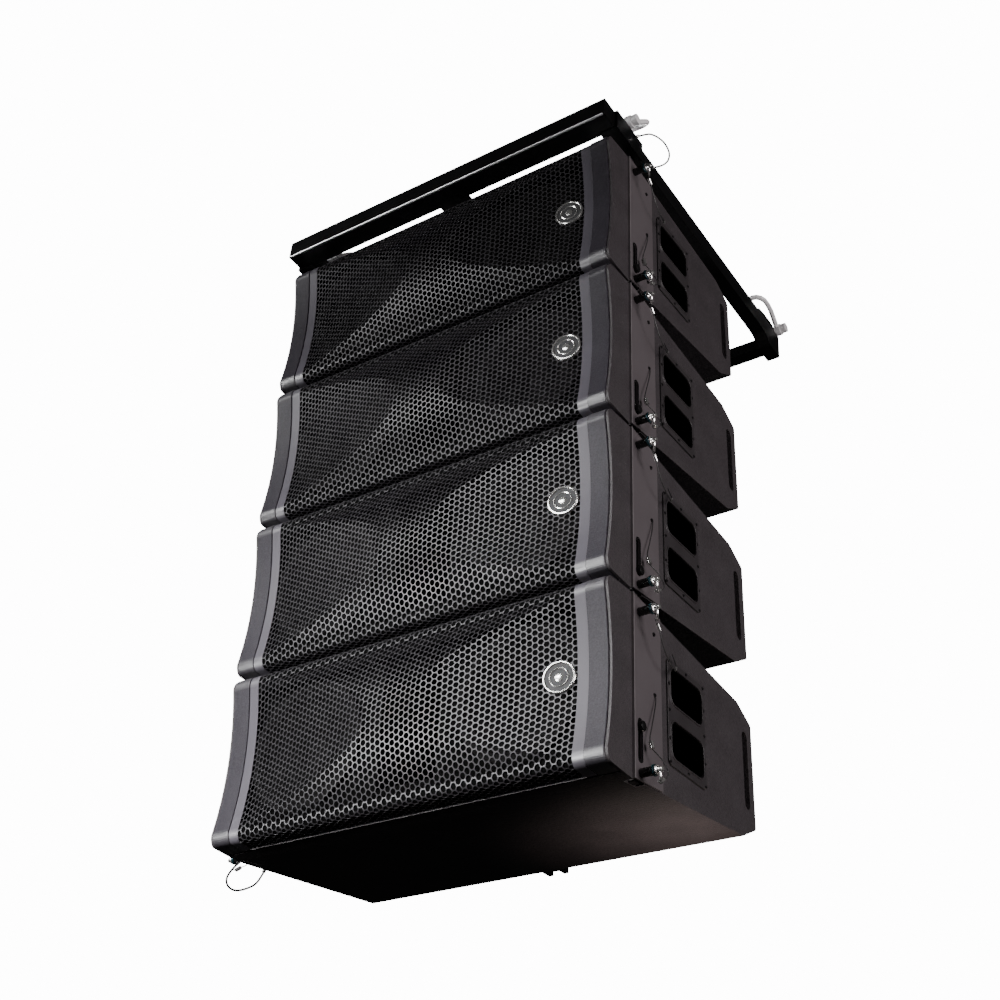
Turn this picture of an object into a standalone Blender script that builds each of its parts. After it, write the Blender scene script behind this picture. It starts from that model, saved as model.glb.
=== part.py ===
"""A flown line array: four two-way cabinets under a welded flying frame.

The driving sizes below are in millimetres, in cabinet or frame coordinates:
X across the array, Y from the front lips to the rear, Z up.
The world origin is the middle of the flat top of the frame's spine, where a hoist holds the array.
"""

import math

import bmesh
import bpy
from mathutils import Matrix, Vector

MM = 0.001

# Cabinets
CABS = 4
PITCH = 280.6  # from one cabinet's centre to the next
HALF_W = 337.5
WALL = 15.0
LIP_Z = 118.0  # where the concave front meets the rounded lip
LIP = [(0.8, 126.0), (4.0, 131.5), (10.0, 135.0)]
FRONT_SAG = 12.5  # depth of the concave front at mid height
BODY = [(64.0, 137.8), (388.0, 106.0), (429.5, 84.5), (432.0, 81.0)]
CAVITY = [(38.0, 121.0), (64.0, 122.6), (383.0, 91.6), (417.0, 74.0)]
REBATE_Y = 40.0  # the front moulding sits in the enclosure up to here
SIDE_LIP = 4.2
GAP = 0.3

# Grille
GRILLE_HALF = 301.5
GRILLE_MARGIN = 286.0  # the perforated field ends here
GRILLE_BULGE = 30.0
GRILLE_THICK = 2.0
GRILLE_BACK = 35.3
CREASE_IN, CREASE_OUT, CREASE_POWER = 0.15, 0.82, 2.25

# Loudspeakers
WOOFER_X = 187.0
WOOFER_HOLE = 93.0
HORN_FRONT, HORN_THROAT = (53.5, 106.5), (9.0, 52.0)

# Handle cup in each side
CUP = (160.0, 272.0, 76.0)  # front, rear, half height
POCKET = (164.0, 268.0, 70.0)
HAND_HOLES = [(168.0, 262.0, 13.0, 67.0), (168.0, 262.0, -68.0, -14.0)]
PORT = (399.0, 416.0, -59.0, 64.0)

# Side rigging
PIN_Y = 80.0
TOP_PIN_Z, LOW_PIN_Z = 112.0, -125.0
LINK_X = 330.0
LINK_DROP = 43.6  # from a link's stowed place to its linked place
LINK_HOLE = 5.3
KNOB_X = 346.0
PLATE_X = (337.8, 340.3)
KNOB_SLOT = (76.0, 84.0, -108.0, -50.0)

# Rear rigging
EAR_Y, EAR_Z = 417.0, -92.0
EYE_TOP = 10.0

# Flying frame, in its own tilted coordinates from the pivot
FRAME_PIVOT_Z = 180.0
FRAME_TILT = -3.2  # degrees, rear end low
BEAM_Y = 20.0
ARM_X = (316.0, 341.0)
ARM_REAR = 655.0
CROSS_Y = (612.7, 637.7)
LUG_X = 328.0
SHACKLES = {"front": (60.0, 38.0, 45.0), "rear": (652.0, 33.0, 165.0)}  # y, z, lie in degrees
HANG_Y, SPINE_TOP = 230.0, 19.0


# Wire lanyards: hand-laid routes, beside cabinet 1 at the frame and in the lowest cabinet
LANYARD_RADIUS = 1.3
FRAME_LANYARD = [
    (347.8, 71, 184), (352, 73, 186), (352, 78, 191), (358, 101, 213), (362, 115, 220), (365, 129, 223),
    (367, 144, 223), (366, 160, 218), (363, 164, 206), (358, 160, 194), (352, 152, 184), (347, 146, 179),
    (343.2, 143, 177), (342.8, 138, 174),
]
CABINET_LANYARD = [
    (-342.2, 77, -126), (-343, 75.5, -130), (-343, 72, -135), (-343, 61, -147), (-343, 51.5, -162),
    (-343, 51, -172), (-343, 59, -178), (-343, 74, -177.5), (-343, 94, -168.5), (-343, 112, -156),
    (-343, 123, -140), (-343, 127.5, -130), (-342.2, 128, -124),
]


# ---- mesh helpers: each takes millimetres and gives a mesh in metres ----


def finish(bm, name):
    bmesh.ops.recalc_face_normals(bm, faces=bm.faces)
    bmesh.ops.scale(bm, vec=(MM, MM, MM), verts=bm.verts)
    mesh = bpy.data.meshes.new(name)
    bm.to_mesh(mesh)
    bm.free()
    return mesh


def stack(rings, name, cap=True):
    """A closed skin through rings of equal length."""
    bm = bmesh.new()
    rows = [[bm.verts.new(p) for p in ring] for ring in rings]
    for low, high in zip(rows, rows[1:]):
        for i in range(len(low)):
            j = (i + 1) % len(low)
            bm.faces.new((low[i], low[j], high[j], high[i]))
    if cap:
        bm.faces.new(rows[0][::-1])
        bm.faces.new(rows[-1])
    return finish(bm, name)


def prism(outline, x0, x1, name="prism"):
    """A (y, z) outline run along X."""
    return stack([[(x, y, z) for y, z in outline] for x in (x0, x1)], name)


def block(x0, x1, y0, y1, z0, z1):
    return prism([(y0, z0), (y1, z0), (y1, z1), (y0, z1)], x0, x1, "block")


def rounded(y0, y1, z0, z1, radius, steps=3):
    """A rectangle in (y, z) with rounded corners."""
    points = []
    corners = ((y1, z1, 0), (y0, z1, 90), (y0, z0, 180), (y1, z0, 270))
    for y, z, start in corners:
        cy = y - radius if y == y1 else y + radius
        cz = z - radius if z == z1 else z + radius
        for i in range(steps + 1):
            a = math.radians(start + 90 * i / steps)
            points.append((cy + radius * math.cos(a), cz + radius * math.sin(a)))
    return points


def turned(profile, sides, axis="X"):
    """A (radius, distance) profile turned about an axis, with a point at each end."""
    bm = bmesh.new()

    def place(r, d, a):
        c, s = r * math.cos(a), r * math.sin(a)
        return (d, c, s) if axis == "X" else (c, d, s)

    turn = [2 * math.pi * i / sides for i in range(sides)]
    rings = [[bm.verts.new(place(r, d, a)) for a in turn] for r, d in profile if r > 0]
    for low, high in zip(rings, rings[1:]):
        for i in range(sides):
            j = (i + 1) % sides
            bm.faces.new((low[i], low[j], high[j], high[i]))
    for (r, d), ring in ((profile[0], rings[0]), (profile[-1], rings[-1])):
        if r > 0:
            bm.faces.new(ring)
            continue
        tip = bm.verts.new(place(0, d, 0))
        for i in range(sides):
            bm.faces.new((tip, ring[i], ring[(i + 1) % sides]))
    return finish(bm, "turned")


def rod(x0, x1, y, z, radius, sides=16):
    mesh = turned([(radius, x0), (radius, x1)], sides)
    mesh.transform(Matrix.Translation(Vector((0, y, z)) * MM))
    return mesh


def swept(points, radius, sides, name):
    """A round bar along a route of points."""
    route = [Vector(p) for p in points]
    rings, side = [], None
    for i, here in enumerate(route):
        along = (route[min(i + 1, len(route) - 1)] - route[max(i - 1, 0)]).normalized()
        if side is None:
            side = along.orthogonal().normalized()
        side = (side - along * side.dot(along)).normalized()
        other = along.cross(side)
        turn = [2 * math.pi * k / sides for k in range(sides)]
        rings.append([here + radius * (side * math.cos(a) + other * math.sin(a)) for a in turn])
    return stack(rings, name)


def smoothed(points, steps=2):
    """The points with more between them, on a Catmull-Rom curve."""
    route = [Vector(p) for p in points]
    route = [2 * route[0] - route[1], *route, 2 * route[-1] - route[-2]]
    out = []
    for a, b, c, d in zip(route, route[1:], route[2:], route[3:]):
        for i in range(steps):
            t = i / steps
            out.append(0.5 * (2 * b + (c - a) * t + (2 * a - 5 * b + 4 * c - d) * t**2
                              + (3 * b - 3 * c + d - a) * t**3))
    return out + [route[-2]]


def combine(base, parts, operation):
    """The base mesh after a Boolean with each part in turn."""
    link = bpy.context.scene.collection.objects.link
    holder = bpy.data.objects.new("holder", base)
    link(holder)
    helpers = [holder]
    for part in parts:
        helper = bpy.data.objects.new("cutter", part)
        helper.hide_render = True
        helper.display_type = "WIRE"
        link(helper)
        helpers.append(helper)
        modifier = holder.modifiers.new(operation.lower(), "BOOLEAN")
        modifier.operation = operation
        modifier.solver = "EXACT"
        modifier.object = helper
    bpy.context.view_layer.update()
    graph = bpy.context.evaluated_depsgraph_get()
    result = bpy.data.meshes.new_from_object(holder.evaluated_get(graph))
    for helper in helpers:
        bpy.data.objects.remove(helper)
    return result


def add(base, *parts):
    return combine(base, parts, "UNION")


def cut(base, *parts):
    return combine(base, parts, "DIFFERENCE")


def mirrored(mesh):
    """The same mesh on the other side of the array."""
    other = mesh.copy()
    other.transform(Matrix.Scale(-1, 4, Vector((1, 0, 0))))
    other.flip_normals()
    return other


def both(make):
    """What make(side) gives for the right side and the left side."""
    return [make(side) for side in (1, -1)]


# ---- materials ----


def material(name, colour, roughness, metallic=0.0):
    made = bpy.data.materials.new(name)
    made.use_nodes = True
    shader = made.node_tree.nodes["Principled BSDF"]
    shader.inputs["Base Color"].default_value = (*colour, 1)
    shader.inputs["Roughness"].default_value = roughness
    shader.inputs["Metallic"].default_value = metallic
    made.diffuse_color = (*colour, 1)
    return made


def materials():
    return {
        "enclosure_coating": material("enclosure_coating", (0.030, 0.028, 0.029), 0.6),
        "front_moulding": material("front_moulding", (0.035, 0.032, 0.039), 0.45),
        "grille_steel": material("grille_steel", (0.035, 0.034, 0.037), 0.45, 0.3),
        "woofer_black": material("woofer_black", (0.02, 0.02, 0.02), 0.7),
        "rigging_plate": material("rigging_plate", (0.05, 0.045, 0.047), 0.5, 0.3),
        "link_steel": material("link_steel", (0.04, 0.04, 0.042), 0.4, 0.8),
        "pin_steel": material("pin_steel", (0.35, 0.36, 0.37), 0.3, 1.0),
        "rear_steel": material("rear_steel", (0.04, 0.04, 0.042), 0.45, 0.6),
        "frame_paint": material("frame_paint", (0.012, 0.012, 0.013), 0.3),
        "shackle_zinc": material("shackle_zinc", (0.62, 0.62, 0.60), 0.3, 1.0),
        "lanyard_wire": material("lanyard_wire", (0.03, 0.03, 0.03), 0.5),
    }


def place(name, mesh, slot, parent, at=(0, 0, 0), tilt=0.0, smooth=False):
    """A named sub-part, at a place in millimetres under its parent."""
    obj = bpy.data.objects.new(name, mesh)
    mesh.materials.clear()
    mesh.materials.append(slot)
    if smooth:
        mesh.polygons.foreach_set("use_smooth", [True] * len(mesh.polygons))
        mesh.set_sharp_from_angle(angle=math.radians(35))
    bpy.context.scene.collection.objects.link(obj)
    obj.parent = parent
    obj.location = Vector(at) * MM
    obj.rotation_euler.x = math.radians(tilt)
    return obj


def empty(name, parent=None, at=(0, 0, 0), tilt=0.0):
    obj = bpy.data.objects.new(name, None)
    obj.empty_display_size = 0.05
    bpy.context.scene.collection.objects.link(obj)
    obj.parent = parent
    obj.location = Vector(at) * MM
    obj.rotation_euler.x = math.radians(tilt)
    return obj


# ---- cabinet shape ----


def front_y(z):
    """The concave front edge, from lip to lip."""
    return FRONT_SAG * (1 - (z / LIP_Z) ** 2)


def outline(rear):
    """The cabinet's side view: the front arc and lips, then the given upper rear points."""
    arc = [(front_y(LIP_Z * i / 4), LIP_Z * i / 4) for i in range(5)]
    upper = arc + LIP + rear
    return upper + [(y, -z) for y, z in reversed(upper) if z > 0]


def mirrored_outline(upper):
    return upper + [(y, -z) for y, z in reversed(upper)]


def enclosure_mesh():
    inner = HALF_W - WALL
    shell = cut(
        prism(outline(BODY), -HALF_W, HALF_W),
        block(SIDE_LIP - HALF_W, HALF_W - SIDE_LIP, -30, REBATE_Y, -160, 160),
        prism(mirrored_outline(CAVITY), -inner, inner),
    )

    def cup(side):
        front, rear, half = CUP
        return block(*sorted((side * 258, side * (inner + 3))), front, rear, -half, half)

    shell = add(shell, *both(cup), block(-40, 40, 387, 422, -88, 88))
    eye_room = block(-27, 27, 396, 450, -160, -79)
    cutters = [block(-27, 27, 402, 450, -160, 160), eye_room, block(95, 225, 429.5, 450, -45, 45)]
    for side in (1, -1):
        def span(a, b, side=side):
            return sorted((side * a, side * b))

        front, rear, half = POCKET
        cutters.append(block(*span(262, inner - 0.2), front, rear, -half, half))
        for hole in HAND_HOLES:
            cutters.append(prism(rounded(*hole, 14), *span(inner - 4, HALF_W + 5)))
        cutters.append(prism(rounded(*PORT, 8.4), *span(inner - 8, HALF_W + 5)))
        cutters.append(block(*span(325, HALF_W + 5), 66, 94, -160, 160))
        for z in (TOP_PIN_Z, LOW_PIN_Z):
            cutters.append(rod(*span(315, HALF_W + 4), PIN_Y, z, 5.4, 12))
    return cut(shell, *cutters)


def horn(front, y0, throat, y1):
    rings = []
    for (x, z), y in ((front, y0), (throat, y1)):
        rings.append([(-x, y, -z), (x, y, -z), (x, y, z), (-x, y, z)])
    return stack(rings, "horn")


def baffle_mesh():
    back = REBATE_Y - GAP
    cheek_outline = outline([(back, 136.4)])
    outer = HALF_W - SIDE_LIP - GAP

    def cheek(side):
        return prism(cheek_outline, *sorted((side * (GRILLE_HALF + GAP), side * outer)))

    def mouth(side):
        mesh = turned([(WOOFER_HOLE, 10), (WOOFER_HOLE, 60)], 28, "Y")
        mesh.transform(Matrix.Translation((side * WOOFER_X * MM, 0, 0)))
        return mesh

    board = add(
        block(-320, 320, 22, back, -132, 132),
        block(-322, 322, 35.6, back - 0.4, -136.2, 136.2),
        *both(cheek),
        horn((58, 112), 38, (20, 62), 150),
    )
    return cut(board, *both(mouth), horn(HORN_FRONT, 15, HORN_THROAT, 155))


def grille_row(t):
    """One row of the sculpted front: a middle facet that bulges, and a facet leaning to each side."""
    bulge = -GRILLE_BULGE * (1 - t * t)
    edge = front_y(t * LIP_Z)
    crease = GRILLE_MARGIN * (CREASE_IN + CREASE_OUT * abs(t) ** CREASE_POWER)
    middle = (crease + GRILLE_MARGIN) / 2
    right = [
        (crease, bulge),
        (middle, (bulge + edge) / 2),
        (GRILLE_MARGIN, edge),
        (GRILLE_HALF, edge),
    ]
    return [(-x, y) for x, y in reversed(right)] + right


def grille_mesh():
    """A sheet folded over both lips, built as an outer and an inner skin."""
    steps = 12
    lip_columns = [x for x, _ in grille_row(1.0)]
    wrap = [(GRILLE_BACK, 136.2, 0, -1), (*LIP[2], 0.25, -1), (*LIP[1], 0.75, -0.7), (*LIP[0], 1, -0.2)]
    outer, inner = [], []
    for y, z, dy, dz in wrap:
        outer.append([(x, y, z) for x in lip_columns])
        inner.append([(x, y + GRILLE_THICK * dy, z + GRILLE_THICK * dz) for x in lip_columns])
    for i in range(steps + 1):
        t = 1 - 2 * i / steps
        outer.append([(x, y, t * LIP_Z) for x, y in grille_row(t)])
        inner.append([(x, y + GRILLE_THICK, t * LIP_Z) for x, y in grille_row(t)])
    for rows in (outer, inner):
        rows.extend([[(x, y, -z) for x, y, z in row] for row in reversed(rows[: len(wrap)])])
    # Each ring of the skin runs down the outside and back up the inside of one column.
    rings = []
    for c in range(len(lip_columns)):
        rings.append([row[c] for row in outer] + [row[c] for row in reversed(inner)])
    return grille_skin(rings)


def grille_skin(rings):
    bm = bmesh.new()
    rows = [[bm.verts.new(p) for p in ring] for ring in rings]
    count = len(rows[0])
    for low, high in zip(rows, rows[1:]):
        for i in range(count):
            j = (i + 1) % count
            bm.faces.new((low[i], low[j], high[j], high[i]))
    for row in (rows[0], rows[-1]):
        for i in range(count // 2 - 1):
            bm.faces.new((row[i], row[i + 1], row[count - 2 - i], row[count - 1 - i]))
    return finish(bm, "grille")


def woofer_mesh():
    profile = [
        (0, 47), (16, 49), (28, 56), (76, 24), (82, 17.5), (88, 19), (91, 16), (102.5, 16),
        (102.5, 21.6), (92.4, 21.6), (90, 42), (52, 88), (58, 90), (58, 124), (0, 124),
    ]
    return turned(profile, 24, "Y")


# ---- rigging shapes ----


def side_plate_mesh(side):
    x0, x1 = sorted((side * PLATE_X[0], side * PLATE_X[1]))
    plate = prism([(65, -136.4), (141, -129), (141, 129), (65, 136.4)], x0, x1)
    holes = [rod(x0 - 2, x1 + 2, PIN_Y, z, 5.4, 12) for z in (TOP_PIN_Z, LOW_PIN_Z)]
    return cut(plate, prism(rounded(*KNOB_SLOT, 3.9), x0 - 2, x1 + 2), *holes)


def link_mesh(side):
    """A sliding link, from its upper hole, with the knob that moves it."""
    tip = KNOB_X - LINK_X
    bar = prism(rounded(-9, 9, -56, 90, 5), *sorted((side * -4, side * 4)))
    knob = turned([(3, 0), (3, tip - 5), (6.6, tip - 4.9), (7.3, tip - 3.5), (6.8, tip - 1.5), (4, tip)], 14)
    knob.transform(Matrix.Translation(Vector((0, 0, 22)) * MM))
    if side < 0:
        knob = mirrored(knob)
    holes = [rod(-6, 6, 0, z, LINK_HOLE, 12) for z in (0, -LINK_DROP)]
    return cut(add(bar, knob), *holes)


def lock_pin_mesh(side):
    """A ball-lock pin, from the outer face of the enclosure."""
    profile = [
        (3.4, -21.5), (5, -20), (5, 3.0), (6.25, 3.1), (6.25, 21),
        (8, 22), (8, 27), (5.5, 28), (5.5, 31), (3.2, 31.5), (3.2, 36),
    ]
    mesh = turned(profile, 14)
    return mesh if side > 0 else mirrored(mesh)


def rear_channel_mesh():
    """An open steel channel, with two ears and a cross pin that carry the next cabinet."""
    channel = cut(
        block(-26.5, 26.5, 402.5, 431, -78, 76),
        block(-9, 9, 406, 450, -100, 100),
    )
    ears = both(lambda side: block(*sorted((side * 10, side * 18)), 409, 428, -98, -60))
    return add(channel, *ears, rod(-14, 14, EAR_Y, EAR_Z, 4, 12))


def rear_arm_mesh():
    """The splay arm, from its eye. The eye is a slot, for the ear swings back as it tilts."""
    arm = add(
        block(-8, 8, 409 - EAR_Y, 425 - EAR_Y, -168, 2),
        prism(rounded(-10, 18, -11, EYE_TOP, 4), -7.6, 7.6),
    )
    return cut(arm, prism(rounded(-4.7, 13.3, -4.7, 4.7, 4.5), -12, 12))


def in_frame(y, z):
    """A place beside the cabinets, in the tilted frame's own (y, z)."""
    local = Matrix.Rotation(math.radians(-FRAME_TILT), 3, "X") @ Vector((0, y, z - FRAME_PIVOT_Z))
    return local.y, local.z


def from_frame(x, y, z):
    tilted = Matrix.Rotation(math.radians(FRAME_TILT), 3, "X") @ Vector((x, y, z))
    return tilted + Vector((0, 0, FRAME_PIVOT_Z))


def frame_arm_outline():
    """A side arm, deeper where it takes the rear crossbar."""
    return [
        (10, -18.5), (572, -18.5), (588, -20.5), (602, -27), (611, -35.5), (ARM_REAR, -35.5),
        (ARM_REAR, 17.5), (10, 17.5),
    ]


def lug_outline(end, y, z):
    """A shackle lug standing on an arm. The rear one is long and humped."""
    if end == "rear":
        hump = [(-42, 48), (-62, 45), (-76, 34), (-84, 12)]
        return [(y + 15, 10), (y + 15, z), (y + 6, 45), (y - 12, 49)] + [(y + a, b) for a, b in hump]
    turn = [math.pi * i / 8 for i in range(9)]
    return [(y - 18, 10), (y + 18, 10)] + [(y + 14 * math.cos(a), z + 13 * math.sin(a)) for a in turn]


def frame_mesh():
    """The welded flying frame: beam, arms, spine, crossbar, tongues, ears and shackle lugs."""
    pin_y, pin_z = in_frame(PIN_Y, TOP_PIN_Z)
    ear_y, ear_z = in_frame(EAR_Y, PITCH + EAR_Z - 63.6)
    parts = [
        block(-20.5, 20.5, 12, 630, -18, SPINE_TOP),
        block(-320, 320, *CROSS_Y, -35, -10),
        rod(-14, 14, ear_y, ear_z, 4, 12),
    ]
    holes = []
    for side in (1, -1):
        def span(a, b, side=side):
            return sorted((side * a, side * b))

        parts += [
            prism(frame_arm_outline(), *span(*ARM_X)),
            block(*span(313, 346), 14, 100, -21.5, 20.5),
            block(*span(LINK_X - 4, LINK_X + 4), pin_y - 9, pin_y + 9, pin_z - 11, -17),
            block(*span(10, 18), ear_y - 10, ear_y + 11, ear_z - 7, -15),
        ]
        for end, (y, z, _) in SHACKLES.items():
            parts.append(prism(lug_outline(end, y, z), *span(LUG_X - 4, LUG_X + 4)))
            holes.append(rod(*span(LUG_X - 8, LUG_X + 8), y, z, 6.8, 12))
        holes.append(rod(*span(LINK_X - 8, LINK_X + 8), pin_y, pin_z, LINK_HOLE, 12))
    return cut(add(block(-HALF_W - 3.5, HALF_W + 3.5, -BEAM_Y, BEAM_Y, -19, 18), *parts), *holes)


def shackle_mesh():
    """A bow shackle, from its pin, with the bow towards +Y."""
    radius, jaw = 5.0, 15.0
    leg = [(jaw, 0, 0), (jaw, 14, 0), (jaw + 2.5, 30, 0), (jaw + 5, 46, 0), (jaw + 5.5, 62, 0)]
    turn = [math.radians(90 * i / 4) for i in range(1, 5)]
    crown = [(20.5 * math.cos(a), 64 + 24 * math.sin(a), 0) for a in turn]
    half = leg + crown
    bow = swept(half + [(-x, y, z) for x, y, z in reversed(half[:-1])], radius, 8, "bow")
    eyes = both(lambda side: rod(*sorted((side * (jaw - 5.2), side * (jaw + 5.2))), 0, 0, 11.5, 14))
    return add(bow, *eyes, turned([(6, -24), (6, 20), (9.5, 20.8), (9.5, 31)], 14))


# ---- the array ----


def build_cabinet(k, root, slots, shapes):
    """Cabinet k, counted from the top. The lowest cabinet's links are stowed."""
    cab = empty(f"cab_{k}", root, (0, 0, -(k - 1) * PITCH))
    place(f"enclosure_{k}", shapes["enclosure"].copy(), slots["enclosure_coating"], cab)
    place(f"baffle_{k}", shapes["baffle"].copy(), slots["front_moulding"], cab)
    place(f"grille_{k}", shapes["grille"].copy(), slots["grille_steel"], cab)
    place(f"rear_channel_{k}", shapes["channel"].copy(), slots["rear_steel"], cab)
    eye_z = PITCH + EAR_Z - (63.6 if k == 1 else 0)
    place(f"rear_arm_{k}", shapes["arm"].copy(), slots["rear_steel"], cab, (0, EAR_Y, eye_z))
    link_z = LOW_PIN_Z + (LINK_DROP if k == CABS else 0)
    for side, hand in ((1, "right"), (-1, "left")):
        at = (side * WOOFER_X, 0, 0)
        place(f"woofer_{hand}_{k}", shapes["woofer"].copy(), slots["woofer_black"], cab, at, 0, True)
        plate = side_plate_mesh(side)
        place(f"side_plate_{hand}_{k}", plate, slots["rigging_plate"], cab)
        at = (side * LINK_X, PIN_Y, link_z)
        place(f"link_{hand}_{k}", link_mesh(side), slots["link_steel"], cab, at)
        at = (side * HALF_W, PIN_Y, TOP_PIN_Z)
        place(f"lock_pin_{hand}_{k}", lock_pin_mesh(side), slots["pin_steel"], cab, at, 0, True)
    return cab


def build_frame(root, slots):
    frame = empty("flying_frame_axis", root, (0, 0, FRAME_PIVOT_Z), FRAME_TILT)
    place("flying_frame", frame_mesh(), slots["frame_paint"], frame)
    for end, (y, z, lie) in SHACKLES.items():
        for side, hand in ((1, "right"), (-1, "left")):
            at = (side * LUG_X, y, z)
            mesh = shackle_mesh()
            place(f"shackle_{end}_{hand}", mesh, slots["shackle_zinc"], frame, at, lie, True)


def build():
    for obj in list(bpy.data.objects):
        bpy.data.objects.remove(obj)
    slots = materials()
    hang = from_frame(0, HANG_Y, SPINE_TOP)
    root = empty("line_array", None, -hang)
    shapes = {
        "enclosure": enclosure_mesh(),
        "baffle": baffle_mesh(),
        "grille": grille_mesh(),
        "woofer": woofer_mesh(),
        "channel": rear_channel_mesh(),
        "arm": rear_arm_mesh(),
    }
    build_frame(root, slots)
    wire = slots["lanyard_wire"]
    loop = swept(smoothed(FRAME_LANYARD), LANYARD_RADIUS, 6, "lanyard")
    place("lanyard_frame", loop, wire, root, smooth=True)
    for k in range(1, CABS + 1):
        cab = build_cabinet(k, root, slots, shapes)
    loop = swept(smoothed(CABINET_LANYARD), LANYARD_RADIUS, 6, "lanyard")
    place("lanyard_cabinet", loop, wire, cab, smooth=True)


build()
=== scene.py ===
"""Looks for the flown line array: enclosures, perforated grilles, rigging hardware, light and camera.

Sizes are in millimetres, but lights and the studio are in metres. A cabinet's own coordinates start at the
middle of its front lips: X across the array, Y to the rear, Z up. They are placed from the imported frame.
"""

import math

import bmesh
import bpy
from mathutils import Matrix, Vector


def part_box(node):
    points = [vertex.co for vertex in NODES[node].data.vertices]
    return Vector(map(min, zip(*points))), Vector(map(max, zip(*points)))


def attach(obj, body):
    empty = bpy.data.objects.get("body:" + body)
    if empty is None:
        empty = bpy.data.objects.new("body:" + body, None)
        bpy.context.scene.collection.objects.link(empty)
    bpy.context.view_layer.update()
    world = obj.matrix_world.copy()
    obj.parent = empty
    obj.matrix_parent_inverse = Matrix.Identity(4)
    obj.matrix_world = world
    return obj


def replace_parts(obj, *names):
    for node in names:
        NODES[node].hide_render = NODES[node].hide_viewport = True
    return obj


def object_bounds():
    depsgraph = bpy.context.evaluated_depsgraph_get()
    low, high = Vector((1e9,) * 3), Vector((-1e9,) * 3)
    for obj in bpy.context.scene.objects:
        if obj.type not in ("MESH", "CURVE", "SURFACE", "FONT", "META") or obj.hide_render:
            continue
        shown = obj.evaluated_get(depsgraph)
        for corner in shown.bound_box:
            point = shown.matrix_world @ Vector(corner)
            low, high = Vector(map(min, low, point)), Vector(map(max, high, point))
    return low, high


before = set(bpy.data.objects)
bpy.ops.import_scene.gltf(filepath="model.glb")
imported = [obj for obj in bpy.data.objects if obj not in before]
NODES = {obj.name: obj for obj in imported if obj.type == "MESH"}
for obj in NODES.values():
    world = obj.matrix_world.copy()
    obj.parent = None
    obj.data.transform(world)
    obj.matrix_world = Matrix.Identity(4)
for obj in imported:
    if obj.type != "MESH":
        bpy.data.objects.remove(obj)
cad_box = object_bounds()

MM = 0.001
CABS = 4
SIDES = ((1, "right"), (-1, "left"))

# Cabinet shape
HALF_W = 337.5
WALL = 15.0
LIP_Z = 118.0
LIP_Y, LIP_RISE = 10.0, 17.0  # the rounded lip's depth and height
LIP_TURN = 21.6  # the sheet's length around the lip
FRONT_SAG = 12.5
REAR_OUTLINE = [(64.0, 137.8), (388.0, 106.0), (429.5, 84.5), (432.0, 81.0)]
CAVITY = [(38.0, 121.0), (64.0, 122.6), (383.0, 91.6), (417.0, 74.0)]
SIDE_LIP = 4.2
REBATE_Y = 40.0
CHEEK_PROUD = 2.0

# Grille
GRILLE_HALF = 301.5
FIELD_HALF = 286.0
BULGE = 30.0
CREASE_IN, CREASE_OUT, CREASE_POWER = 0.15, 0.82, 2.25
HOLE_PITCH = 9.55
HOLE_R = 4.35  # from a hole's middle to its corners
CORNER_TURN = 0.20  # half the angle, in radians, that a hole's cut corner takes
SHEET = 1.2
GRILLE_BACK = 35.2
GRILLE_REACH = LIP_Z + LIP_TURN + GRILLE_BACK - LIP_Y  # from the middle to an end, along the sheet
BADGE_X = 259.0

# Side features
HAND_HOLES = [(168.0, 262.0, 13.0, 67.0), (168.0, 262.0, -68.0, -14.0)]
PORT = (399.0, 416.0, -59.0, 64.0)
HANDLE = (160.0, 271.0, -81.0, 80.0)
HANDLE_PROUD = 2.6
PIN_Y, TOP_PIN_Z, LOW_PIN_Z = 80.0, 112.0, -125.0
PLATE_OUT = 340.3  # the rigging plate's outer face
SLOT_ROOM = (76.0, 84.0, -108.0, -50.0)
SLOT_BEZEL = (73.4, 86.6, -110.6, -47.4)
PLATE_SCREWS = [(121, 3), (121, 96), (121, -100)]
KNOB_DROP = 68.0  # from a link's top to its knob
SOCKETS = [(x, z) for x in (128, 192) for z in (-20, 20)]  # on the rear plate

BEAM_HALF = 341.0  # half the front beam's length

# Pins, from the side's face outwards
PIN_ROD = [(3.4, -21.5), (5, -20), (5, 3), (6.0, 3.1), (6.25, 4), (6.25, 20.4), (5.8, 21)]
PIN_HUB = [(5, 20.9), (7.4, 21.3), (8, 22.2), (8, 24.2), (7.2, 25), (5.5, 25.2)]
PIN_BUTTON = [(5, 25.1), (6.9, 25.5), (7.1, 27.4), (5.3, 28.4), (5.3, 30.4), (4, 31.4), (3.2, 32),
              (3.2, 35), (2.4, 36)]

# Cords, in a cabinet's own coordinates: the pin wires of a right-hand side, then the safety lanyards, one on
# the frame above cabinet 1 and one below cabinet 4
WIRE_R = 0.8
TOP_WIRE = [(364, 82, 97), (365, 86, 90), (365, 92, 84), (364, 100, 72), (362, 116, 57),
            (359.5, 138, 49), (355, 156, 53), (350, 168, 66), (345, 172, 78), (341.5, 172.5, 88)]
LOW_WIRE = [(364, 82, -140), (364.5, 89, -138), (364, 98, -131), (364, 109, -124), (362, 113, -112),
            (357, 104, -98), (351, 93, -88), (348, 92, -74), (347, 100, -52), (345, 112, -24),
            (343, 119, -6), (341.8, 121, 1)]
LANYARD_R = 1.7
FRAME_LANYARD = [(347.8, 71, 184), (352, 73, 186), (352, 78, 191), (358, 101, 213), (362, 115, 220),
                 (365, 129, 223), (367, 144, 223), (366, 160, 218), (363, 164, 206), (358, 160, 194),
                 (352, 152, 184), (347, 146, 179), (343.2, 143, 177), (342.8, 138, 174)]
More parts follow.
